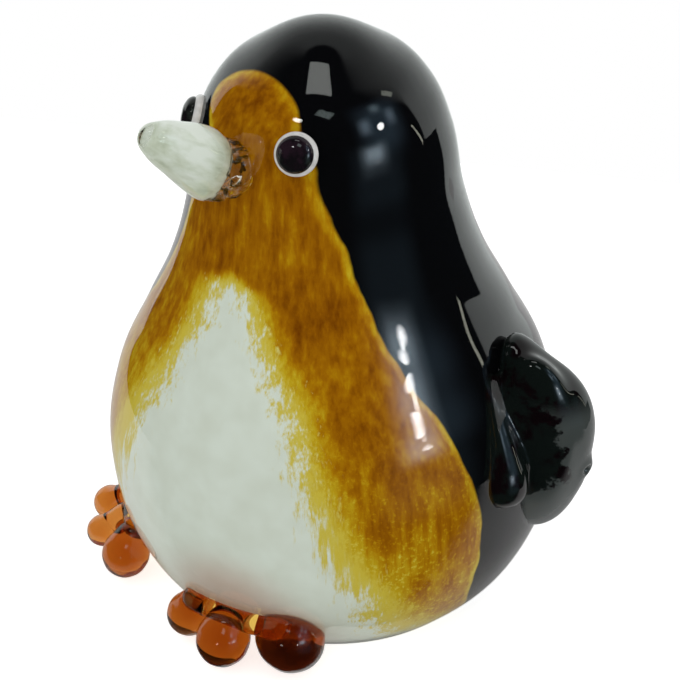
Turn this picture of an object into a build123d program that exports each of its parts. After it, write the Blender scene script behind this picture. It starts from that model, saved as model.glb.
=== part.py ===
from build123d import *
import math
import os

# Penguin figurine of solid hot-worked glass: a white heart with an amber breast and a black
# mantle, all cased in clear crystal, with beak, eyes, wings and drop feet stuck on hot.
# The bird stands on the XY plane and faces -Y, so its left side is +X.
# The origin is the middle of the ground base. Lengths are millimetres.
# A turn is degrees about the body's axis from straight ahead, positive toward the bird's left.
# A height is measured up the body's axis, which leans forward a little.

# Body
body_height = 125.0
belly_radius = 46.6
body_lean = 2.1
base_edge = 1.5
# Half outline of the body: share of the belly radius, share of the height. The first point
# lies under the ground base and is cut away.
body_outline_shares = [
    (0.62, -0.03),
    (0.70, 0.0),
    (0.90, 0.095),
    (1.0, 0.245),
    (0.95, 0.384),
    (0.812, 0.495),
    (0.677, 0.6),
    (0.588, 0.71),
    (0.534, 0.83),
    (0.447, 0.905),
    (0.33, 0.948),
]

# Clear casing round the heart, and how far the heart's rim is rounded above the casing's floor
casing_wall = 3.0
casing_floor = 4.0
heart_edge = 5.0

# Coloured layers on the white heart, turned a little to the bird's left as they were laid on
pattern_turn = 14.0
colour_thickness = 1.5
# Front edge of the mantle in side view: reach in front of the body's axis as a share of the
# belly radius, height as a share of the body height. The last point is over the forehead.
mantle_edge_shares = [
    (0.05, -0.03),
    (0.14, 0.05),
    (0.225, 0.14),
    (0.225, 0.2),
    (0.24, 0.3),
    (0.284, 0.405),
    (0.34, 0.5),
    (0.36, 0.594),
    (0.37, 0.72),
    (0.395, 0.823),
    (0.36, 0.885),
    (0.335, 0.905),
    (0.28, 0.93),
    (0.27, 0.945),
]
# Window in the amber over the belly in front view: half width as a share of the belly radius,
# height as a share of the body height. The last point is its pointed top.
window_edge_shares = [
    (0.58, -0.03),
    (0.63, 0.15),
    (0.53, 0.29),
    (0.41, 0.39),
    (0.32, 0.47),
    (0.165, 0.562),
    (0.0, 0.66),
]

# Eyes, stuck on by hand, a little uneven: turn, and height as a share of the body height
eye_turns = {"left": 37.9, "right": -40.0}
eye_height_shares = {"left": 0.877, "right": 0.85}
eye_white_radius = 4.6
eye_white_rise = 1.4
pupil_radius = 3.6
pupil_rise = 2.1
pupil_lift = 0.8

# Beak
beak_turn = 3.8
beak_height_share = 0.832
beak_lift = 25.0
beak_length = 24.5
beak_radius = 6.2
beak_skin = 0.7
beak_root_length = 3.6
# Half outline of the beak: share of its radius, share of its length. The first point lies in
# the head and is cut away.
beak_outline_shares = [(1.0, -0.3), (1.0, 0.0), (0.94, 0.4), (0.7, 0.75), (0.42, 0.93)]
collar_radius = 7.6
collar_sink = 3.8

# Wings
wing_turn = 115.0
wing_height_share = 0.336
wing_length = 46.0
wing_width = 40.0
wing_thickness = 11.0
wing_tilt = 5.0
wing_sink = 9.0
roll_top_turn = 109.0
roll_top_height_share = 0.504
roll_top_radius = 2.6
roll_foot_turn = 98.5
roll_foot_height_share = 0.324
roll_foot_radius = 5.6
nub_radius = 1.4
nub_rise = 0.7
nub_drop = 5.0

# Feet: turn of each drop from inner to outer, and as shares of the largest drop's radius, its own
# radius, how far its middle stands out from the wall at the foot's height, and the gap under it
toe_names = ["inner", "middle", "outer"]
toe_radius = 7.2
toe_turns = {"left": (4.2, 19.0, 36.7), "right": (-27.0, -38.5, -48.5)}
toe_radius_shares = {"left": (0.68, 0.81, 1.0), "right": (0.74, 0.51, 0.56)}
toe_reach_shares = {"left": (0.0, 0.39, -0.1), "right": (0.47, 1.07, 0.98)}
toe_gap_shares = {"left": (0.1, 0.06, 0.08), "right": (0.1, 0.25, 0.35)}
toe_root_share = 0.55
toe_fan_share = 0.75
foot_height = 13.0
pad_rise = 2.8
pad_reach = 3.2

leaning = Rotation(body_lean, 0, 0)
far = 2 * body_height
halvings = 40


def scaled(shares, width, height):
    """Points of an outline, from shares of a width and a height."""
    return [(across * width, up * height) for across, up in shares]


def body_outline(inset):
    """Half outline of the body, moved inward by the inset, from under the base to the crown."""
    points = scaled(body_outline_shares, belly_radius, body_height)
    foot_tangent = Vector(*points[1]) - Vector(*points[0])
    tangents = [foot_tangent, Vector(-1, 0)]
    outer = Spline(*points, (0, body_height), tangents=tangents)
    if inset == 0:
        return outer
    moved = []
    for point in points:
        along = outer.tangent_at(outer.param_at_point(point))
        moved.append((point[0] - inset * along.Y, point[1] + inset * along.X))
    return Spline(*moved, (0, body_height - inset), tangents=tangents)


def revolved(outline):
    """Solid of revolution about Z of a half outline that ends on the axis."""
    start = outline @ 0
    end = outline @ 1
    closing = Polyline(end, (0, start.Y), start) if start.X > 0 else Line(end, start)
    return revolve(Plane.YZ * make_face([*outline.edges(), *closing.edges()]), Axis.Z)


def body_solid(inset, floor, edge):
    """Body shape inside the outline, leaned forward, cut flat at the floor, its rim rounded."""
    leaned = leaning * revolved(body_outline(inset))
    cut = split(leaned, bisect_by=Plane.XY.offset(floor), keep=Keep.TOP)
    return fillet(cut.edges().group_by(Axis.Z)[0], edge)


def on_body(turn, height):
    """Place on the body's surface with Z straight out of the glass and Y up along it."""
    outline = body_outline(0)
    low, high = 0, 1
    for _ in range(halvings):
        middle = (low + high) / 2
        if (outline @ middle).Y < height:
            low = middle
        else:
            high = middle
    point = outline @ low
    along = outline % low
    wall = Plane((point.X, 0, point.Y), x_dir=(0, 1, 0), z_dir=(along.Y, 0, -along.X))
    return leaning * Rotation(0, 0, turn - 90) * wall.location


def between(start, end):
    """Place at the start with Z pointing to the end."""
    return Plane(start, z_dir=end - start).location


def cushion(radius, rise):
    """Round cushion: a sphere of the radius, flattened along Z to the rise."""
    return scale(Sphere(radius), by=(1, 1, rise / radius))


def taper(radius, end_radius, length):
    """Tapered drop along Z: a ball at the origin, a ball at the length, and a cone between."""
    slope = math.degrees(math.asin((radius - end_radius) / length))
    ball = CenterArc((0, 0), radius, -90, 90 + slope)
    end_ball = CenterArc((0, length), end_radius, slope, 90 - slope)
    side = Line(ball @ 1, end_ball @ 0)
    outline = Wire([ball, side, end_ball])
    return revolved(outline)


def mantle_region():
    """Everything behind the mantle's front edge, as seen from the bird's side."""
    forward, backward = -far, far
    edge = [(-across, up) for across, up in scaled(mantle_edge_shares, belly_radius, body_height)]
    front = Spline(*edge)
    foot = edge[0]
    brow = edge[-1]
    rest = Polyline(brow, (forward, brow[1]), (forward, far), (backward, far), (backward, foot[1]), foot)
    side = Plane.YZ * make_face([front, *rest.edges()])
    region = extrude(side, far, both=True)
    return leaning * Rotation(0, 0, pattern_turn) * region


def belly_window():
    """Arched prism through the front of the body that leaves the white belly bare."""
    right = scaled(window_edge_shares, belly_radius, body_height)
    left = [(-across, up) for across, up in right]
    arch = [Spline(*right), Spline(*left), Line(left[0], right[0])]
    window = extrude(Plane.XZ * make_face(arch), far)
    return leaning * Rotation(0, 0, pattern_turn) * window


def eye(turn, height_share, body):
    """Flat white dot on the head and the domed dark bead on it."""
    place = on_body(turn, height_share * body_height)
    white = place * cushion(eye_white_radius, eye_white_rise) - body
    bead = place * Pos(0, 0, pupil_lift) * cushion(pupil_radius, pupil_rise)
    return white, bead - body - white


def beak_drop(inset):
    """Beak shape along Z with its root under the origin, moved inward by the inset."""
    radius = beak_radius - inset
    length = beak_length - inset
    points = scaled(beak_outline_shares, radius, length)
    return revolved(Spline(*points, (0, length), tangents=[Vector(0, 1), Vector(-1, 0)]))


def beak(body):
    """White drop, the clear skin over it, and the clear root that spreads onto the head."""
    place = on_body(beak_turn, beak_height_share * body_height) * Rotation(-beak_lift, 0, 0)
    joint = Plane.XY.offset(beak_root_length)
    outer = split(beak_drop(0), bisect_by=joint, keep=Keep.TOP)
    pearl = split(beak_drop(beak_skin), bisect_by=joint, keep=Keep.TOP)
    spread = Line((collar_radius, -collar_sink), (beak_radius, beak_root_length))
    root_outline = Wire([spread, Line(spread @ 1, (0, beak_root_length))])
    root = place * revolved(root_outline) - body
    return place * pearl, place * (outer - pearl), root


def wing(body):
    """Left wing: a roll of glass down the side, and the blade that was pressed out behind it."""
    half = Vector(wing_width, wing_thickness, wing_length) / 2
    pressed = scale(Rotation(0, 90, 0) * Sphere(half.X), by=(1, half.Y / half.X, half.Z / half.X))
    nub_reach = half.X * math.sqrt(1 - (nub_drop / half.Z) ** 2) + nub_rise - nub_radius
    pressed += Pos(nub_reach, 0, -nub_drop) * Sphere(nub_radius)
    spine = on_body(wing_turn, wing_height_share * body_height).position
    place = Pos(*spine) * leaning * Rotation(0, 0, wing_turn - 90) * Pos(-wing_sink, 0, 0)
    blade = place * Rotation(0, -wing_tilt, 0) * pressed
    top = on_body(roll_top_turn, roll_top_height_share * body_height).position
    foot = on_body(roll_foot_turn, roll_foot_height_share * body_height).position
    span = (top - foot).length
    roll = between(foot, top) * taper(roll_foot_radius, roll_top_radius, span)
    return blade + roll - body


def foot(side, body):
    """Web of glass stuck on the body and the drops pulled out of it, side by side."""
    turns = toe_turns[side]
    middle_turn = sum(turns) / len(turns)
    roots = [middle_turn + (turn - middle_turn) * toe_fan_share for turn in turns]
    seat = on_body(0, foot_height).position
    reach = Vector(seat.X, seat.Y).length
    first, last = min(roots), max(roots)
    level = Pos(0, 0, seat.Z)
    section = Plane.XZ * Pos(reach, 0) * Ellipse(pad_reach, pad_rise)
    bar = revolve(section, Axis.Z, revolution_arc=last - first)
    pad = level * Rotation(0, 0, first - 90) * bar
    for end in (first, last):
        pad += level * Rotation(0, 0, end - 90) * Pos(reach, 0, 0) * cushion(pad_reach, pad_rise)
    pad -= body
    toes = []
    shares = zip(toe_radius_shares[side], toe_reach_shares[side], toe_gap_shares[side])
    for turn, root_turn, (radius_share, reach_share, gap_share) in zip(turns, roots, shares):
        radius = radius_share * toe_radius
        out = reach + reach_share * toe_radius
        root = on_body(root_turn, foot_height).position
        tip = Vector(0, -out, radius + gap_share * toe_radius).rotate(Axis.Z, turn)
        toe = between(tip, root) * taper(radius, radius * toe_root_share, (root - tip).length)
        toe = toe - body - pad
        for other in toes:
            toe -= other
        toes.append(toe)
    return pad, toes


def write(shape, node):
    """Write one piece to its own file."""
    export_step(shape, f"parts/{node}.step")


os.makedirs("parts", exist_ok=True)

casing_shape = body_solid(0, 0, base_edge)
heart_shape = body_solid(casing_wall, casing_floor, heart_edge)
inner_inset = casing_wall + colour_thickness
inner_floor = casing_floor + colour_thickness
colours = heart_shape - body_solid(inner_inset, inner_floor, heart_edge - colour_thickness)
mantle = colours & mantle_region()
amber = colours - mantle_region() - belly_window()
write(heart_shape - mantle - amber, "opal_core")
write(amber, "amber_breast")
write(mantle, "black_mantle")
write(casing_shape - heart_shape, "clear_casing")

pearl, skin, root = beak(casing_shape)
write(pearl, "beak_core")
write(skin, "beak_casing")
write(root, "beak_collar")

left_wing = wing(casing_shape)
write(left_wing, "left_wing")
write(mirror(left_wing, about=Plane.YZ), "right_wing")

for side in ("left", "right"):
    white, bead = eye(eye_turns[side], eye_height_shares[side], casing_shape)
    write(white, f"{side}_eye_white")
    write(bead, f"{side}_eye_pupil")
    pad, toes = foot(side, casing_shape)
    write(pad, f"{side}_foot_pad")
    for name, toe in zip(toe_names, toes):
        write(toe, f"{side}_toe_{name}")
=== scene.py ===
import math

import bpy
from mathutils import Matrix, Vector


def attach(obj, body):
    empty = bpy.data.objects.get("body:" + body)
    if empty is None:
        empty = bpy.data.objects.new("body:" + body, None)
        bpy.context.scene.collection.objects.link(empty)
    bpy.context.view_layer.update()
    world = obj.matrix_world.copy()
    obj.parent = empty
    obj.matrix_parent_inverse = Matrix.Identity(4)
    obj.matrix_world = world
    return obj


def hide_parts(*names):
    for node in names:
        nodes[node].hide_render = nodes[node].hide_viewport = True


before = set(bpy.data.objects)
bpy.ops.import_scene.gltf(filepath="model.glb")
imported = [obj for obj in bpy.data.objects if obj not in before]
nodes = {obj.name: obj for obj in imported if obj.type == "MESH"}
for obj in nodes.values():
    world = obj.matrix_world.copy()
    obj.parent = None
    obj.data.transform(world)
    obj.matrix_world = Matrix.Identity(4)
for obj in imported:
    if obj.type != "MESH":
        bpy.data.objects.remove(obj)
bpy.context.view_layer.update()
mm = 0.001

# Heart of the bird: an opal white gather rolled in amber frit over the breast and in black over
# the head, back and sides, all of it sealed inside the clear casing. The frit was dragged down
# by the marver, so its border with the white is ragged and its colour streaky.
body_height = 125.0
belly_radius = 46.6
body_lean = math.radians(2.1)
pattern_turn = math.radians(14)
# Share of the height, and how far before the middle the black begins, in belly radii.
mantle_edge = [
    (0.0, 0.1), (0.06, 0.15), (0.138, 0.225), (0.2, 0.225), (0.296, 0.24), (0.35, 0.262),
    (0.405, 0.284), (0.454, 0.306), (0.5, 0.34), (0.594, 0.36), (0.72, 0.37), (0.823, 0.395),
    (0.885, 0.33), (0.905, 0.298), (0.925, 0.272), (0.945, 0.27), (1.0, 0.36),
]
# Share of the height, and how far the bare white reaches to each side, in belly radii.
window_edge = [
    (0.0, 0.59), (0.15, 0.63), (0.29, 0.53), (0.41, 0.41), (0.475, 0.32),
    (0.575, 0.155), (0.63, 0.09), (0.68, 0.02), (1.0, 0.0),
]
edge_wave = 0.035
edge_blur = 0.006
brow_tip = 0.25
arch_drift = 0.05
arch_closing = 0.25
usual_raggedness = 0.285
usual_tone = 0.49
per_millimetre = (1 / mm, 1 / mm, 1 / mm)
dragged_down = (1 / mm, 1 / mm, 120)
black_colour = (0.002, 0.002, 0.0025, 1)
thin_veil_colour = (0.66, 0.55, 0.1, 1)
# Amber of the painted reflection of the feet, laid on the white above them.
painted_feet_reflection_colour = (0.5, 0.27, 0.2, 1)
feet_places = [(0.0146, -0.0405, 0.013), (-0.0265, -0.034, 0.013)]


def add(tree, kind, inputs=None, **settings):
    """Add one node, with its settings and its inputs, which are values or other nodes' sockets."""
    made = tree.nodes.new(kind)
    for name, value in settings.items():
        setattr(made, name, value)
    for key, value in (inputs or {}).items():
        if isinstance(value, bpy.types.NodeSocket):
            tree.links.new(value, made.inputs[key])
        else:
            made.inputs[key].default_value = value
    return made


def maths(tree, operation, first, second=0.0, clamp=False):
    """One sum on two values."""
    inputs = {0: first, 1: second}
    return add(tree, "ShaderNodeMath", inputs, operation=operation, use_clamp=clamp).outputs[0]


def shares_of(tree, *parts):
    """Add up values, each times its share."""
    total = None
    for value, share in parts:
        part = maths(tree, "MULTIPLY", value, share)
        total = part if total is None else maths(tree, "ADD", total, part)
    return total


def measured(tree, operation, first, second):
    """One value from two vectors: their distance, or the reach of one along the other."""
    made = add(tree, "ShaderNodeVectorMath", {0: first, 1: second}, operation=operation)
    return made.outputs["Value"]


def curve(tree, value, points):
    """Read a drawn curve at a value."""
    made = add(tree, "ShaderNodeFloatCurve", {"Value": value})
    line = made.mapping.curves[0]
    while len(line.points) < len(points):
        line.points.new(0.5, 0.5)
    for point, place in zip(line.points, points):
        point.location = place
    made.mapping.update()
    return made.outputs[0]


def rising(tree, value, start, end):
    """Rise smoothly from 0 to 1 while a value goes from start to end."""
    inputs = {"Value": value, "From Min": start, "From Max": end}
    made = add(tree, "ShaderNodeMapRange", inputs, interpolation_type="SMOOTHSTEP")
    return made.outputs["Result"]


def falling(tree, value, start, end):
    """Fall smoothly from 1 to 0 while a value goes from start to end."""
    return maths(tree, "SUBTRACT", 1.0, rising(tree, value, start, end))


def object_place(tree):
    """Place on the piece, in metres."""
    return add(tree, "ShaderNodeTexCoord").outputs["Object"]


def mapped(tree, place, stretch=(1, 1, 1), turn=(0, 0, 0)):
    """Stretch a place, then turn it."""
    inputs = {"Vector": place, "Scale": stretch, "Rotation": turn}
    return add(tree, "ShaderNodeMapping", inputs).outputs[0]


def axes_of(tree, place):
    """The three axes of a place."""
    return add(tree, "ShaderNodeSeparateXYZ", {0: place}).outputs


def clouding_group():
    """Node group: the uneven clouding of hand-worked glass, between about 0.2 and 0.8."""
    group = bpy.data.node_groups.new("clouding", "ShaderNodeTree")
    for name, kind in (("Place", "Vector"), ("Fineness", "Float"), ("Detail", "Float"), ("Grain", "Float")):
        group.interface.new_socket(name, in_out="INPUT", socket_type="NodeSocket" + kind)
    group.interface.new_socket("Clouding", in_out="OUTPUT", socket_type="NodeSocketFloat")
    given = group.nodes.new("NodeGroupInput").outputs
    inputs = {
        "Vector": given["Place"], "Scale": given["Fineness"],
        "Detail": given["Detail"], "Roughness": given["Grain"],
    }
    clouds = add(group, "ShaderNodeTexNoise", inputs)
    result = group.nodes.new("NodeGroupOutput")
    group.links.new(clouds.outputs[0], result.inputs["Clouding"])
    return group


clouding = clouding_group()


def clouded(tree, place, fineness, detail=2.0, grain=0.5):
    """Clouding of the glass at a place, as many clouds to a unit of it as the fineness says."""
    inputs = {"Place": place, "Fineness": fineness, "Detail": detail, "Grain": grain}
    return add(tree, "ShaderNodeGroup", inputs, node_tree=clouding).outputs["Clouding"]


def blend_colours(tree, share, first, second):
    """Mix two colours by a share."""
    inputs = {0: share, 6: first, 7: second}
    return add(tree, "ShaderNodeMix", inputs, data_type="RGBA").outputs[2]


def ramp(tree, value, stops):
    """Colour along a value."""
    made = add(tree, "ShaderNodeValToRGB", {"Fac": value})
    steps = made.color_ramp.elements
    while len(steps) < len(stops):
        steps.new(0.5)
    for step, (place, colour) in zip(steps, stops):
        step.position = place
        step.color = (*colour, 1)
    return made.outputs["Color"]


def workings(made):
    """Node tree of a material and its main shader."""
    return made.node_tree, made.node_tree.nodes["Principled BSDF"]


def new_material(name):
    """Empty material with its node tree and its main shader."""
    made = bpy.data.materials.new(name)
    made.use_nodes = True
    return made, *workings(made)


layers, tree, shader = new_material("coloured layers")
place = object_place(tree)
turned = mapped(tree, place, turn=(-body_lean, 0, -pattern_turn))
axes = axes_of(tree, turned)
height = maths(tree, "DIVIDE", axes["Z"], body_height * mm)
ahead = maths(tree, "DIVIDE", axes["Y"], -belly_radius * mm)
sideways = maths(tree, "DIVIDE", axes["X"], belly_radius * mm)
streak_place = mapped(tree, turned, dragged_down)
cloud_place = mapped(tree, turned, per_millimetre)
streaks = clouded(tree, streak_place, 0.6, 4.0, 0.6)
fine_streaks = clouded(tree, streak_place, 2.2, 2.0, 0.6)
specks = clouded(tree, cloud_place, 1.1, 3.0, 0.7)
clouds = clouded(tree, cloud_place, 0.1, 3.0, 0.6)

# The black lies behind a line that waves a little below the head and tips across the brow.
wave = maths(tree, "SUBTRACT", clouded(tree, cloud_place, 0.12), 0.5)
wave = maths(tree, "MULTIPLY", wave, edge_wave)
wave = maths(tree, "MULTIPLY", wave, falling(tree, height, 0.78, 0.88))
brow = maths(tree, "MULTIPLY", sideways, brow_tip)
brow = maths(tree, "MULTIPLY", brow, rising(tree, height, 0.84, 0.9))
behind = maths(tree, "SUBTRACT", curve(tree, height, mantle_edge), ahead)
behind = maths(tree, "ADD", maths(tree, "ADD", behind, wave), brow)
black = rising(tree, behind, -edge_blur, edge_blur)

# The white shows inside a ragged arch whose top drifts a little to the bird's right.
drift = maths(tree, "MULTIPLY", rising(tree, height, 0.46, 0.62), arch_drift)
aside = maths(tree, "ABSOLUTE", maths(tree, "ADD", sideways, drift))
above_arch = maths(tree, "MULTIPLY", rising(tree, height, 0.625, 0.7), arch_closing)
past_window = maths(tree, "SUBTRACT", aside, curve(tree, height, window_edge))
past_window = maths(tree, "ADD", past_window, above_arch)
ragged = shares_of(tree, (streaks, 0.34), (fine_streaks, 0.18), (specks, 0.06))
ragged = maths(tree, "SUBTRACT", ragged, usual_raggedness)
ragged_edge = maths(tree, "ADD", past_window, ragged)
veil = rising(tree, ragged_edge, -0.08, 0.015)
frit = rising(tree, ragged_edge, -0.01, 0.07)

# The amber is yellower at the white, low down, along the black and on the bird's right.
thin_frit = falling(tree, past_window, 0.0, 0.17)
low_side = falling(tree, height, 0.1, 0.55)
edge_line = rising(tree, behind, -0.035, -0.008)
far_side = rising(tree, maths(tree, "MULTIPLY", axes["X"], -1.0), 0.008, 0.026)
tone = shares_of(
    tree, (streaks, 0.95), (clouds, 0.7), (thin_frit, 0.56), (low_side, 0.16), (edge_line, 0.3),
    (far_side, 0.2),
)
speck_strength = maths(tree, "ADD", maths(tree, "MULTIPLY", low_side, 0.3), 0.06)
bright_specks = maths(tree, "MULTIPLY", rising(tree, specks, 0.5, 0.7), speck_strength)
tone = maths(tree, "ADD", tone, bright_specks)
tone = maths(tree, "SUBTRACT", tone, usual_tone, clamp=True)
amber = ramp(tree, tone, [
    (0.05, (0.17, 0.045, 0.0005)), (0.25, (0.27, 0.088, 0.001)), (0.42, (0.36, 0.135, 0.0015)),
    (0.6, (0.47, 0.23, 0.003)), (0.8, (0.57, 0.38, 0.012)), (1.0, (0.66, 0.52, 0.06)),
])

# Painted reflection: near the feet the white is tinted amber, as if the amber feet were mirrored in the
# glass above them.
painted_feet_reflection = None
for foot_place in feet_places:
    near = falling(tree, measured(tree, "DISTANCE", place, foot_place), 0.006, 0.019)
    painted_feet_reflection = near if painted_feet_reflection is None else maths(tree, "MAXIMUM", painted_feet_reflection, near)
white_stops = [(0.3, (0.7, 0.75, 0.65)), (0.7, (0.76, 0.82, 0.73))]
white = ramp(tree, clouded(tree, cloud_place, 0.2, 4.0), white_stops)
white = blend_colours(tree, maths(tree, "MULTIPLY", painted_feet_reflection, 0.55), white, painted_feet_reflection_colour)
breast = blend_colours(tree, veil, white, thin_veil_colour)
breast = blend_colours(tree, frit, breast, amber)
whole = blend_colours(tree, black, breast, black_colour)
tree.links.new(whole, shader.inputs["Base Color"])
shader.inputs["Roughness"].default_value = 1.0
shader.inputs["Specular IOR Level"].default_value = 0.0
for node in ("opal_core", "amber_breast", "black_mantle"):
    nodes[node].data.materials.clear()
    nodes[node].data.materials.append(layers)

# Clear casing: the last gather of crystal, which takes the bird's whole outer shape, leans
# forward a little, and is ground flat underneath with a narrow bevel.
casing_radius = 46.5
casing_steps = 160
crown_handle = 6.6
base_edge = 1.2
base_share = 0.965
# Shares of the radius and of the height; the first point lies below the ground base.
body_outline = [
    (0.62, -0.03), (0.70, 0.0), (0.90, 0.095), (1.0, 0.245), (0.95, 0.384), (0.812, 0.495),
    (0.677, 0.6), (0.588, 0.71), (0.534, 0.83), (0.447, 0.905), (0.33, 0.948), (0.0, 1.0),
]


def revolved(name, outline, handles, steps=48, smoothness=8):
    """Closed solid turned round Z from a half outline in millimetres, left in edit mode.

    The handles give how level the outline runs into each of its ends that is on the axis.
    """
    bpy.ops.object.select_all(action="DESELECT")
    bpy.ops.curve.primitive_bezier_curve_add(location=(0, 0, 0))
    made = bpy.context.object
    made.name = name
    line = made.data.splines[0]
    line.resolution_u = smoothness
    line.bezier_points.add(len(outline) - 2)
    for point, (reach, up) in zip(line.bezier_points, outline):
        point.co = (reach * mm, 0, up * mm)
        point.handle_left_type = point.handle_right_type = "AUTO"
    for end, handle in handles.items():
        point = line.bezier_points[end]
        point.handle_left_type = point.handle_right_type = "FREE"
        point.handle_left = point.co + Vector((handle * mm, 0, 0))
        point.handle_right = point.handle_left
    bpy.ops.object.convert(target="MESH")
    bpy.ops.object.mode_set(mode="EDIT")
    bpy.ops.mesh.select_all(action="SELECT")
    bpy.ops.mesh.spin(steps=steps, angle=2 * math.pi, center=(0, 0, 0), axis=(0, 0, 1))
    bpy.ops.mesh.select_all(action="SELECT")
    bpy.ops.mesh.remove_doubles(threshold=1e-6)
    bpy.ops.mesh.normals_make_consistent(inside=False)
    return made


def clear_glass(name, colour, depth_colour=None, depth_strength=0.0):
    """Glass that lets the lamps and soft light through, and can be coloured by its depth."""
    made, tree, shader = new_material(name)
    shader.inputs["Base Color"].default_value = (*colour, 1)
    shader.inputs["Roughness"].default_value = 0.0
    shader.inputs["IOR"].default_value = 1.5
    shader.inputs["Transmission Weight"].default_value = 1.0
    path = add(tree, "ShaderNodeLightPath").outputs
    passing = maths(tree, "MAXIMUM", path["Is Shadow Ray"], path["Is Diffuse Ray"])
    through = add(tree, "ShaderNodeBsdfTransparent", {"Color": (*colour, 1)})
    mix = add(tree, "ShaderNodeMixShader", {0: passing, 1: shader.outputs[0], 2: through.outputs[0]})
    output = tree.nodes["Material Output"]
    tree.links.new(mix.outputs[0], output.inputs["Surface"])
    if depth_colour:
        inputs = {"Color": (*depth_colour, 1), "Density": depth_strength}
        depth = add(tree, "ShaderNodeVolumeAbsorption", inputs)
        tree.links.new(depth.outputs[0], output.inputs["Volume"])
    return made


def finish(made, material, node, place=None):
    """Apply the piece's place, shade it smooth, give it its material and body, and hide the node it stands
    for.
    """
    if bpy.context.object.mode == "EDIT":
        bpy.ops.object.mode_set(mode="OBJECT")
    bpy.ops.object.select_all(action="DESELECT")
    made.select_set(True)
    bpy.context.view_layer.objects.active = made
    if place:
        made.matrix_world = place
    bpy.ops.object.transform_apply(location=True, rotation=True, scale=True)
    bpy.ops.object.shade_smooth()
    made.data.materials.clear()
    made.data.materials.append(material)
    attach(made, "root")
    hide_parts(node)


crystal = clear_glass("clear crystal", (0.98, 0.995, 0.985))
outline = [(across * casing_radius, up * body_height) for across, up in body_outline]
casing = revolved("casing", outline, {-1: crown_handle}, casing_steps, 10)
bpy.ops.transform.rotate(value=-body_lean, orient_axis="X", center_override=(0, 0, 0))
ground_at = (0, 0, base_edge * mm)
bpy.ops.mesh.bisect(plane_co=ground_at, plane_no=(0, 0, 1), clear_inner=True, use_fill=True)
bpy.ops.mesh.extrude_region_move(TRANSFORM_OT_translate={"value": (0, 0, -base_edge * mm)})
bpy.ops.transform.resize(value=(base_share, base_share, 1))
bpy.ops.mesh.select_all(action="SELECT")
bpy.ops.mesh.normals_make_consistent(inside=False)
finish(casing, crystal, "clear_casing")
bpy.ops.object.shade_smooth_by_angle(angle=math.radians(40))

# Beak: a drop of pearl white glass under a thin clear skin, drawn to a blunt point, and held to
# the head by a clear root that spread and crumpled as the hot drop was pressed on and twisted.
beak_seat = Vector((1.645, -28.567, 103.022))
beak_axis = Vector((0.0523, -0.8091, 0.5854))
pearl_outline = [
    (0, 4.6), (3.4, 5.0), (4.8, 7.5), (4.7, 11), (3.4, 16), (1.9, 20), (0, 21.6),
]
skin_outline = [
    (0, 3.7), (4.4, 4.0), (5.9, 7.0), (6.0, 10), (5.1, 15), (3.6, 20.5), (1.9, 23.6), (0, 24.5),
]
root_outline = [
    (0, -3.0), (4.6, -2.7), (5.6, -1.0), (5.7, 0.8), (5.3, 3.2), (4.2, 5.2), (0, 5.6),
]
pearl_heart = (1.5, 2.5, 13.5)
lump_place = (0.5, -7.0, 1.5)
crumple_size = 2.4
crumple_depth = 1.3
clear_colour = (0.97, 0.99, 0.96, 1)
shard_colour = (0.03, 0.045, 0.035, 1)


def standing(seat, axis):
    """Place of a piece that was made upright: on its seat, in millimetres, along its axis."""
    return Matrix.Translation(seat * mm) @ axis.to_track_quat("Z", "Y").to_matrix().to_4x4()


def grab(made, place, reach, move):
    """Pull the surface at a place, in millimetres, fading out over the reach."""
    bpy.ops.mesh.select_all(action="DESELECT")
    bpy.ops.object.mode_set(mode="OBJECT")
    spot = Vector(place) * mm
    nearest = min(made.data.vertices, key=lambda v: (v.co - spot).length)
    nearest.select = True
    bpy.ops.object.mode_set(mode="EDIT")
    bpy.ops.transform.translate(
        value=Vector(move) * mm, use_proportional_edit=True,
        proportional_size=reach * mm, proportional_edit_falloff="SMOOTH",
    )


def turned_drop(name, outline):
    """Drop of glass turned round Z, rounded off where its outline meets the axis."""
    return revolved(name, outline, {0: outline[1][0] / 2, -1: outline[-2][0] / 2})


def place_in_beak(tree):
    """Place in millimetres from the beak's seat, with Z along the beak."""
    inputs = {
        "Vector": object_place(tree), "Location": beak_place.translation,
        "Rotation": beak_place.to_euler(), "Scale": (mm, mm, mm),
    }
    return add(tree, "ShaderNodeMapping", inputs, vector_type="TEXTURE").outputs[0]


beak_place = standing(beak_seat, beak_axis)
pearl, tree, shader = new_material("pearl white")
in_beak = place_in_beak(tree)
swirl = clouded(tree, mapped(tree, in_beak, (1.0, 1.3, 0.4)), 0.45, 3.0)
from_heart = measured(tree, "DISTANCE", in_beak, pearl_heart)
brighter = maths(tree, "MULTIPLY", falling(tree, from_heart, 2.0, 8.5), 0.35)
pearl_colour = ramp(tree, maths(tree, "ADD", swirl, brighter), [
    (0.3, (0.42, 0.46, 0.36)), (0.48, (0.6, 0.64, 0.54)),
    (0.66, (0.74, 0.78, 0.72)), (0.82, (0.85, 0.88, 0.86)),
])
tree.links.new(pearl_colour, shader.inputs["Base Color"])
shader.inputs["Roughness"].default_value = 0.45
# The underside near the head sags back toward it, and the tip droops.
beak_core = turned_drop("beak_pearl_drop", pearl_outline)
grab(beak_core, (0, -4.6, 6.5), 7.5, (0, -1.4, -3.4))
grab(beak_core, (0, -2.5, 20), 8, (0, -0.5, 0))
finish(beak_core, pearl, "beak_core", beak_place)

beak_skin = turned_drop("beak_clear_skin", skin_outline)
grab(beak_skin, (0, -5.6, 6.5), 7.5, (0, -1.4, -3.6))
skin_glass = clear_glass("pearl skin", (0.93, 0.96, 0.9))
finish(beak_skin, skin_glass, "beak_casing", beak_place)

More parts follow.
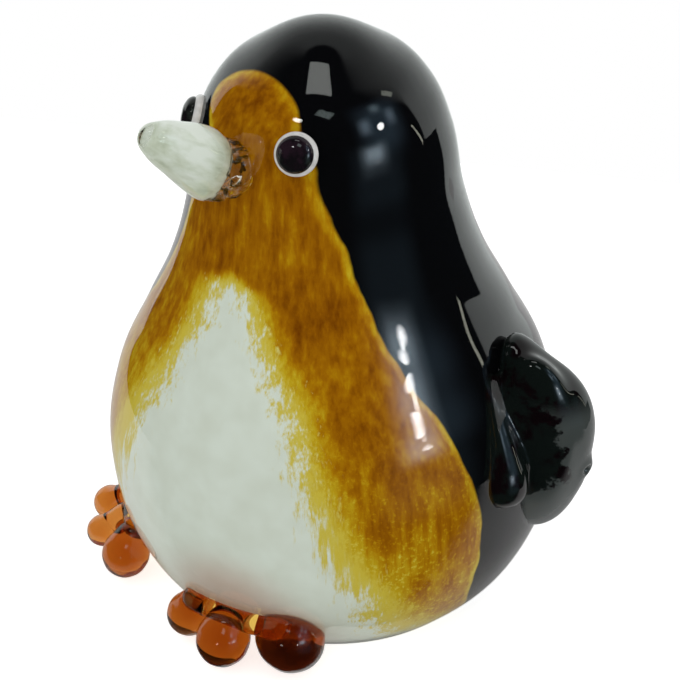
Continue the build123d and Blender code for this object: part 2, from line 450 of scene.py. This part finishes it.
root_glass = clear_glass("clear root", (1.0, 1.0, 1.0))
tree, shader = workings(root_glass)
in_beak = place_in_beak(tree)
fold_place = mapped(tree, in_beak, (1.6, 0.5, 0.5), (0, 0.5, 0.3))
fold = clouded(tree, fold_place, 0.7, 3.0, 0.6)
off_head = rising(tree, axes_of(tree, in_beak)["Z"], -0.2, 1.6)
shards = maths(tree, "MULTIPLY", rising(tree, fold, 0.5, 0.54), off_head)
lump = falling(tree, measured(tree, "DISTANCE", in_beak, lump_place), 2.2, 3.4)
dark = maths(tree, "MAXIMUM", shards, lump)
root_colour = blend_colours(tree, dark, clear_colour, shard_colour)
tree.links.new(root_colour, shader.inputs["Base Color"])
# A lump was squeezed out underneath, and an ear was pulled out on one side.
beak_root = turned_drop("beak_clear_root", root_outline)
grab(beak_root, (0.5, -6.5, 1.5), 4, (0, -1.3, 0.6))
grab(beak_root, (6.0, 2.5, 2.0), 3, (1.0, 0.4, 0.8))
bpy.ops.object.mode_set(mode="OBJECT")
crumple = bpy.data.textures.new("crumple", "CLOUDS")
crumple.noise_scale = crumple_size * mm
crumple.noise_depth = 1
folds = beak_root.modifiers.new("folds", "DISPLACE")
folds.texture = crumple
folds.strength = crumple_depth * mm
folds.mid_level = 0.6
bpy.ops.object.modifier_apply(modifier="folds")
finish(beak_root, root_glass, "beak_collar", beak_place)

# Eyes: a flat dot of white glass on each side of the head, with a domed bead of dark amethyst
# glass on it. Both were dropped on hot by hand, so the two eyes sit a little unlike.
eyes = {
    "left": (Vector((14.13, -22.15, 108.89)), Vector((0.557, -0.731, 0.395))),
    "right": (Vector((-15.59, -22.46, 105.5)), Vector((-0.617, -0.745, 0.254))),
}
dot_outline = [(0, -1.2), (3.5, -1.1), (4.15, -0.3), (3.95, 0.55), (2.7, 1.15), (0, 1.3)]
bead_outline = [(0, 0.1), (3.0, 0.3), (3.5, 0.9), (3.3, 1.75), (2.1, 2.6), (0, 2.9)]
eye_white, tree, shader = new_material("eye white")
tone = clouded(tree, mapped(tree, object_place(tree), per_millimetre), 0.8, 3.0)
dot_colour = ramp(tree, tone, [(0.3, (0.55, 0.55, 0.53)), (0.7, (0.72, 0.71, 0.69))])
tree.links.new(dot_colour, shader.inputs["Base Color"])
shader.inputs["Roughness"].default_value = 0.12
amethyst, tree, shader = new_material("dark amethyst")
place = mapped(tree, object_place(tree), per_millimetre)
upper = maths(tree, "MULTIPLY", rising(tree, axes_of(tree, place)["Z"], 107.5, 111.5), 0.3)
tone = maths(tree, "ADD", clouded(tree, place, 0.5), upper)
bead_colour = ramp(tree, tone, [
    (0.35, (0.016, 0.021, 0.017)), (0.62, (0.005, 0.004, 0.005)), (0.85, (0.016, 0.008, 0.013)),
])
tree.links.new(bead_colour, shader.inputs["Base Color"])
shader.inputs["Roughness"].default_value = 0.03
for side, (seat, outward) in eyes.items():
    eye_place = standing(seat, outward)
    dot = turned_drop(f"{side}_eye_dot", dot_outline)
    finish(dot, eye_white, f"{side}_eye_white", eye_place)
    bead = turned_drop(f"{side}_eye_bead", bead_outline)
    finish(bead, amethyst, f"{side}_eye_pupil", eye_place)

# Wings: a gather of black glass rolled down each side and pressed out behind the roll into a
# thick round blade, with the small scar at its tip where it was sheared off.
wing_turn = math.radians(115)
wing_out = Vector((math.sin(wing_turn), -math.cos(wing_turn), 0))
wing_face = Vector((-math.cos(wing_turn), -math.sin(wing_turn), 0))
wing_middle = (0.59, -1.27)
wing_plane = Matrix((
    (wing_out.x, 0, wing_face.x, wing_middle[0] * mm),
    (wing_out.y, 0, wing_face.y, wing_middle[1] * mm),
    (0, 1, 0, 0),
    (0, 0, 0, 1),
))
# How far out from the middle and how high up on the wing's plane, in millimetres.
blade_outline = [
    (37.2, 64.6), (39.6, 64.6), (42.4, 63.2), (45.4, 61.3), (50.3, 58.6), (54.0, 54.6),
    (56.0, 48.8), (56.1, 43.6), (55.4, 38.4), (54.9, 34.8), (53.6, 31.2), (51.3, 26.4),
    (48.8, 23.4), (46.0, 21.8), (42.3, 21.6), (39.2, 22.6), (37.2, 26.5), (37.0, 45.0),
]
blade_round = 4.6
blade_flat = 0.4
roll_outline = [
    (0, -5.0), (3.8, -3.8), (5.2, 0), (4.9, 5), (3.3, 14), (2.2, 19.5), (1.0, 22.2), (0, 22.6),
]
roll_foot = Vector((44.6, 4.6, 39.0))
roll_top = Vector((34.6, 7.6, 59.4))
web_reach = (11.0, 20.0, 5.6)
web_middle = (43.5, 43.5, 3.4)
fuse_grain = 0.5
blade_middle = (40.0, 44.0)
# Grey of the painted reflection along the wings' lower outer rims.
rim_reflection_colour = (0.052, 0.061, 0.058, 1)

black_glass, tree, shader = new_material("black glass")
place = mapped(tree, object_place(tree), per_millimetre)
blotch = clouded(tree, place, 0.14, 5.0, 0.65)
wing_axes = axes_of(tree, place)
to_side = maths(tree, "ABSOLUTE", wing_axes["X"])
out = shares_of(tree, (to_side, wing_out.x), (wing_axes["Y"], wing_out.y))
across = maths(tree, "SUBTRACT", out, blade_middle[0])
upward = maths(tree, "SUBTRACT", wing_axes["Z"], blade_middle[1])
squares = [maths(tree, "POWER", reach, 2.0) for reach in (across, upward)]
from_middle = maths(tree, "SQRT", maths(tree, "ADD", *squares))
# Painted reflection: the black turns grey at the blade's lower outer rim, where the curving glass mirrors
# the pale room.
uneven = maths(tree, "MULTIPLY", maths(tree, "SUBTRACT", blotch, 0.5), 14.0)
rim_reflection = rising(tree, maths(tree, "ADD", from_middle, uneven), 12.2, 13.2)
rim_reflection = maths(tree, "MULTIPLY", rim_reflection, rising(tree, out, 41.0, 46.0))
rim_reflection = maths(tree, "MULTIPLY", rim_reflection, falling(tree, wing_axes["Z"], 50.0, 56.0))
dark_stops = [(0.44, (0.0035, 0.0012, 0.0018)), (0.5, (0.0045, 0.0068, 0.0058))]
wing_colour = blend_colours(tree, rim_reflection, ramp(tree, blotch, dark_stops), rim_reflection_colour)
tree.links.new(wing_colour, shader.inputs["Base Color"])
shader.inputs["Roughness"].default_value = 0.02

bpy.ops.object.select_all(action="DESELECT")
bpy.ops.curve.primitive_bezier_circle_add(location=(0, 0, 0))
blade = bpy.context.object
blade.name = "left_pressed_wing"
line = blade.data.splines[0]
line.resolution_u = 4
line.bezier_points.add(len(blade_outline) - 4)
for point, (out_by, up) in zip(line.bezier_points, blade_outline):
    point.co = (out_by * mm, up * mm, 0)
    point.handle_left_type = point.handle_right_type = "AUTO"
blade.data.dimensions = "2D"
blade.data.fill_mode = "BOTH"
blade.data.extrude = blade_flat * mm
blade.data.bevel_depth = blade_round * mm
blade.data.bevel_resolution = 8
blade.data.offset = -blade_round * mm
blade.matrix_world = wing_plane
bpy.ops.object.convert(target="MESH")
bpy.ops.object.transform_apply(location=True, rotation=True, scale=True)

roll = turned_drop("roll", roll_outline)
bpy.ops.object.mode_set(mode="OBJECT")
roll.matrix_world = standing(roll_foot, roll_top - roll_foot)
bpy.ops.object.transform_apply(location=True, rotation=True, scale=True)

bpy.ops.object.select_all(action="DESELECT")
bpy.ops.mesh.primitive_uv_sphere_add(segments=48, ring_count=32, radius=1.0, location=(0, 0, 0))
web = bpy.context.object
bpy.ops.object.mode_set(mode="EDIT")
bpy.ops.mesh.select_all(action="SELECT")
bpy.ops.transform.resize(value=Vector(web_reach) * mm)
bpy.ops.transform.translate(value=Vector(web_middle) * mm)
bpy.ops.object.mode_set(mode="OBJECT")
web.matrix_world = wing_plane
bpy.ops.object.transform_apply(location=True, rotation=True, scale=True)

for part in (blade, roll, web):
    part.select_set(True)
bpy.context.view_layer.objects.active = blade
bpy.ops.object.join()
left_wing = bpy.context.object
fuse = left_wing.modifiers.new("fuse", "REMESH")
fuse.mode = "VOXEL"
fuse.voxel_size = fuse_grain * mm
bpy.ops.object.modifier_apply(modifier="fuse")
melt = left_wing.modifiers.new("melt", "SMOOTH")
melt.factor = 0.5
melt.iterations = 45
bpy.ops.object.modifier_apply(modifier="melt")
# The shear's scar is a low nub with a dimple in it.
bpy.ops.object.mode_set(mode="EDIT")
grab(left_wing, (50.2, 21.9, 38.2), 3.5, (0.9, 0.3, 0))
grab(left_wing, (51.0, 21.6, 38.2), 1.6, (-1.6, -0.5, 0))
bpy.ops.object.mode_set(mode="OBJECT")
bpy.ops.object.select_all(action="DESELECT")
left_wing.select_set(True)
bpy.context.view_layer.objects.active = left_wing
bpy.ops.object.duplicate()
right_wing = bpy.context.object
right_wing.name = "right_pressed_wing"
right_wing.scale = (-1, 1, 1)
bpy.ops.object.transform_apply(location=True, rotation=True, scale=True)
bpy.ops.object.mode_set(mode="EDIT")
bpy.ops.mesh.select_all(action="SELECT")
bpy.ops.mesh.normals_make_consistent(inside=False)
finish(right_wing, black_glass, "right_wing")
finish(left_wing, black_glass, "left_wing")

# Feet: on each side a thin web of amber glass stuck on the body, and three drops pulled out of
# it side by side. The glass is clear, and gets its colour from how deep it is.
drop_depth_colour = (0.79, 0.53, 0.1)
drop_depth_strength = 540.0
web_depth_colour = (0.86, 0.7, 0.05)
web_depth_strength = 240.0
# Name, middle of the drop, its radius, and where it grows out of the web, in millimetres.
toes = {
    "left": [
        ("inner", (3.15, -42.85, 5.62), 4.9, (6.0, -42.5, 11.4)),
        ("middle", (14.9, -43.28, 6.26), 5.83, (14.0, -40.6, 11.5)),
        ("outer", (25.25, -33.87, 7.78), 7.2, (22.86, -36.3, 11.7)),
    ],
    "right": [
        ("inner", (-21.04, -41.3, 6.05), 5.33, (-21.1, -37.4, 11.6)),
        ("middle", (-31.54, -39.66, 5.47), 3.67, (-26.4, -33.8, 11.8)),
        ("outer", (-37.47, -33.15, 6.55), 4.03, (-30.5, -30.1, 11.9)),
    ],
}
# The drawn outline bulges past its points, so it is drawn this much smaller than the drop.
drop_share = 0.94


def amber_glass(name, depth_colour, depth_strength, fineness, stops):
    """Amber glass whose tint also clouds a little over its surface."""
    made = clear_glass(name, (1.0, 1.0, 1.0), depth_colour, depth_strength)
    tree, shader = workings(made)
    tone = clouded(tree, mapped(tree, object_place(tree), per_millimetre), fineness)
    tree.links.new(ramp(tree, tone, stops), shader.inputs["Base Color"])
    return made


drop_stops = [(0.3, (0.95, 0.72, 0.5)), (0.5, (0.98, 0.85, 0.62)), (0.7, (1.0, 0.93, 0.75))]
drop_glass = amber_glass("foot amber", drop_depth_colour, drop_depth_strength, 0.15, drop_stops)
for side, drops in toes.items():
    for name, middle, radius, root in drops:
        middle = Vector(middle)
        growth = Vector(root) - middle
        radius *= drop_share
        length = max(growth.length, radius)
        toe = turned_drop(f"{side}_{name}_toe_drop", [
            (0, -radius), (radius * 0.72, -radius * 0.69), (radius, 0),
            (radius * 0.86, radius * 0.62), (radius * 0.55, length * 0.95),
            (0, length + radius * 0.2),
        ])
        finish(toe, drop_glass, f"{side}_toe_{name}", standing(middle, growth))
web_stops = [(0.3, (0.95, 0.85, 0.4)), (0.7, (1.0, 0.95, 0.6))]
web_glass = amber_glass("foot web amber", web_depth_colour, web_depth_strength, 0.3, web_stops)
for node in ("left_foot_pad", "right_foot_pad"):
    nodes[node].data.materials.clear()
    nodes[node].data.materials.append(web_glass)

# Table: a sheet of white paper that keeps the bird's shadow. Its front part isn't mirrored in
# the glass, which shows the dark of the room there.
back_turn = math.radians(-142.5)
toward_back = (math.sin(back_turn), -math.cos(back_turn), 0)
table_size = 0.36
paper_colour = (0.9, 0.9, 0.9, 1)
mirrored_from = -0.05
mirrored_fully = -0.026
bpy.ops.object.select_all(action="DESELECT")
bpy.ops.mesh.primitive_grid_add(
    x_subdivisions=4, y_subdivisions=4, size=table_size, location=(0, 0, 0), rotation=(0, 0, back_turn),
)
table = bpy.context.object
table.name = "table"
paper, tree, shader = new_material("white paper")
shader.inputs["Base Color"].default_value = paper_colour
shader.inputs["Specular IOR Level"].default_value = 0.0
shader.inputs["Emission Color"].default_value = (1, 1, 1, 1)
path = add(tree, "ShaderNodeLightPath").outputs
seen = maths(tree, "MAXIMUM", path["Is Camera Ray"], path["Is Transmission Ray"])
tree.links.new(maths(tree, "MULTIPLY", seen, 0.7), shader.inputs["Emission Strength"])
only_mirrored = maths(tree, "SUBTRACT", 1.0, path["Is Transmission Ray"])
only_mirrored = maths(tree, "MULTIPLY", path["Is Glossy Ray"], only_mirrored)
place = add(tree, "ShaderNodeNewGeometry").outputs["Position"]
along = measured(tree, "DOT_PRODUCT", place, toward_back)
left_out = maths(tree, "MULTIPLY", only_mirrored, falling(tree, along, mirrored_from, mirrored_fully))
clear = add(tree, "ShaderNodeBsdfTransparent")
mix = add(tree, "ShaderNodeMixShader", {0: left_out, 1: shader.outputs[0], 2: clear.outputs[0]})
tree.links.new(mix.outputs[0], tree.nodes["Material Output"].inputs["Surface"])
table.data.materials.append(paper)

# Room: plain white to the eye and a soft even light, but mirrored in the glass as a dark room
# with a pale screen behind the bird, a window's glow at its left and a few small bright panels.
even_light = 0.8
screen_brightness = 0.95
screen_colour = (0.95, 1.0, 0.98)
room_dark = (0.01, 0.014, 0.016)
level_across = (0, 1, 0)
# Direction of the centre, way its width runs, half width and half height, softness, colour.
panels = [
    # Window's glow beside the bird: its faint reach, then its bright parts on the flank.
    ((0.95, 0.12, 0.02), level_across, 0.36, 0.30, 0.16, (0.08, 0.13, 0.17)),
    ((0.965, 0.10, 0.2), level_across, 0.20, 0.12, 0.10, (1.2, 1.5, 1.75)),
    ((0.965, 0.10, 0.2), level_across, 0.12, 0.09, 0.07, (1.9, 2.3, 2.6)),
    # Glow round the lamp's spot on the head, and three brighter lobes in it.
    ((0.79, 0.33, 0.52), level_across, 0.3, 0.3, 0.2, (0.25, 0.4, 0.55)),
    ((0.81, 0.08, 0.58), level_across, 0.08, 0.08, 0.08, (1.3, 1.7, 2.1)),
    ((0.62, 0.33, 0.71), level_across, 0.07, 0.07, 0.07, (1.1, 1.5, 1.7)),
    ((0.68, 0.52, 0.52), level_across, 0.07, 0.08, 0.07, (1.0, 1.3, 1.6)),
    # Small dim panel above the eye, small wedge behind it, tan strip down the nape.
    ((0.42, -0.34, 0.84), (0.23, 0.11, -0.07), 0.12, 0.075, 0.02, (1.5, 1.8, 1.75)),
    ((0.36, 0.61, 0.71), (0.04, 0.11, -0.12), 0.085, 0.05, 0.015, (2.1, 2.25, 1.9)),
    ((0.58, 0.80, 0.10), (-0.07, 0.10, -0.33), 0.15, 0.014, 0.01, (3.6, 3.6, 3.0)),
    # Grey panel overhead, on the forehead.
    ((0.02, -0.094, 0.995), (0.74, 0.67, 0.0), 0.158, 0.07, 0.008, (2.9, 3.0, 2.9)),
]


def scaled_colour(tree, colour, strength):
    """Colour times a strength."""
    inputs = {0: colour, "Scale": strength}
    return add(tree, "ShaderNodeVectorMath", inputs, operation="SCALE").outputs[0]


def plus(tree, first, second):
    """Add two colours."""
    return add(tree, "ShaderNodeVectorMath", {0: first, 1: second}).outputs[0]


def panel(tree, direction, centre, across, wide, high, edge, colour):
    """Soft-edged bright rectangle of the room, for one direction out of the glass."""
    centre = Vector(centre).normalized()
    across = Vector(across)
    across = (across - centre * across.dot(centre)).normalized()
    mask = maths(tree, "GREATER_THAN", measured(tree, "DOT_PRODUCT", direction, centre), 0.0)
    for line, half in ((across, wide), (centre.cross(across), high)):
        off = maths(tree, "ABSOLUTE", measured(tree, "DOT_PRODUCT", direction, line))
        inside = falling(tree, off, half - edge, half + edge)
        mask = maths(tree, "MULTIPLY", mask, inside)
    return scaled_colour(tree, colour, mask)


world = bpy.data.worlds.new("room")
bpy.context.scene.world = world
world.use_nodes = True
tree = world.node_tree
path = add(tree, "ShaderNodeLightPath").outputs
direction = add(tree, "ShaderNodeTexCoord").outputs["Generated"]
up = axes_of(tree, direction)["Z"]

# The screen fills a sector behind, narrower below the table's level and blurred higher up.
level = maths(tree, "SQRT", maths(tree, "SUBTRACT", 1.0, maths(tree, "MULTIPLY", up, up)))
facing = measured(tree, "DOT_PRODUCT", direction, toward_back)
facing = maths(tree, "DIVIDE", facing, maths(tree, "MAXIMUM", level, 0.02))
narrower = maths(tree, "MULTIPLY", falling(tree, up, -0.12, -0.02), 0.28)
facing = maths(tree, "SUBTRACT", facing, narrower)
blur = maths(tree, "MULTIPLY", rising(tree, up, 0.35, 0.8), 0.4)
sector = rising(tree, facing, maths(tree, "SUBTRACT", 0.37, blur), maths(tree, "ADD", 0.40, blur))
dimmer = maths(tree, "MULTIPLY", rising(tree, up, 0.2, 0.85), 0.55)
screen = maths(tree, "MULTIPLY", sector, maths(tree, "SUBTRACT", screen_brightness, dimmer))
screen = maths(tree, "MULTIPLY", screen, falling(tree, up, 0.93, 0.96))

mirrored = plus(tree, scaled_colour(tree, screen_colour, screen), room_dark)
for centre, across, wide, high, edge, colour in panels:
    mirrored = plus(tree, mirrored, panel(tree, direction, centre, across, wide, high, edge, colour))
mirrored = scaled_colour(tree, mirrored, path["Is Glossy Ray"])
plain = maths(tree, "SUBTRACT", 1.0, path["Is Glossy Ray"])
plain = maths(tree, "MULTIPLY", plain, even_light)
plain_grey = add(tree, "ShaderNodeCombineXYZ", {0: plain, 1: plain, 2: plain}).outputs[0]
unseen = plus(tree, mirrored, plain_grey)
seen = maths(tree, "MAXIMUM", path["Is Camera Ray"], path["Is Transmission Ray"])
background = tree.nodes["Background"]
room_colour = blend_colours(tree, seen, unseen, (1, 1, 1, 1))
tree.links.new(room_colour, background.inputs["Color"])
background.inputs["Strength"].default_value = 1.0

# Lamps: small discs and ovals far off, each at the place where one highlight on the glass
# mirrors it.
# Name, point on the glass, way from it to the lamp, distance, size, brightness, spread.
lamps = [
    ("key lamp", (21.2, -7.5, 112.0), (0.80, 0.32, 0.50), 450, (60, 38), 30, 14),
    ("side lamp", (31.1, -10.7, 73.2), (0.98, 0.13, 0.15), 350, (60, 33), 28, 8),
    ("side lamp below", (35.5, -11.9, 63.5), (0.96, 0.10, 0.262), 350, (60, 18), 28, 8),
    ("side lamp bar", (33.2, -11.3, 68.5), (0.97, 0.12, 0.21), 350, (20, 14), 18, 8),
    ("front lamp", (12.6, -20.8, 111.8), (0.20, -0.66, 0.72), 400, (66, 34), 26, 14),
    ("low lamp", (14.0, -47.0, 9.0), (0.432, -0.885, 0.174), 350, (50, 50), 22, 6),
    ("low side lamp", (26.0, -40.0, 9.0), (0.963, -0.205, 0.174), 350, (50, 50), 22, 6),
]
for name, aim, toward, distance, (wide, high), brightness, spread in lamps:
    light = bpy.data.lights.new(name, "AREA")
    light.shape = "ELLIPSE"
    light.size = wide * mm
    light.size_y = high * mm
    light.spread = math.radians(spread)
    half = light.spread / 2
    area = math.pi / 4 * wide * mm * high * mm
    light.energy = brightness * math.pi * area * (math.tan(half) - half) / math.tan(half)
    lamp = bpy.data.objects.new(name, light)
    bpy.context.scene.collection.objects.link(lamp)
    way = Vector(toward).normalized()
    lamp.location = (Vector(aim) + way * distance) * mm
    lamp.rotation_euler = way.to_track_quat("Z", "Y").to_euler()

# Camera: before the bird's left breast, and looking down on it.
camera_place = Vector((306.73, -261.49, 307.59))
camera_turn = math.radians(49.5)
camera_dip = math.radians(32.3)
view = Vector((
    -math.sin(camera_turn) * math.cos(camera_dip),
    math.cos(camera_turn) * math.cos(camera_dip),
    -math.sin(camera_dip),
))
camera = bpy.data.cameras.new("camera")
camera.lens = 123.06
camera.sensor_width = 36
camera.clip_start = 0.01
camera_stand = bpy.data.objects.new("camera", camera)
bpy.context.scene.collection.objects.link(camera_stand)
camera_stand.location = camera_place * mm
camera_stand.rotation_euler = view.to_track_quat("-Z", "Y").to_euler()
bpy.context.scene.camera = camera_stand
bpy.context.scene.view_settings.view_transform = "Standard"
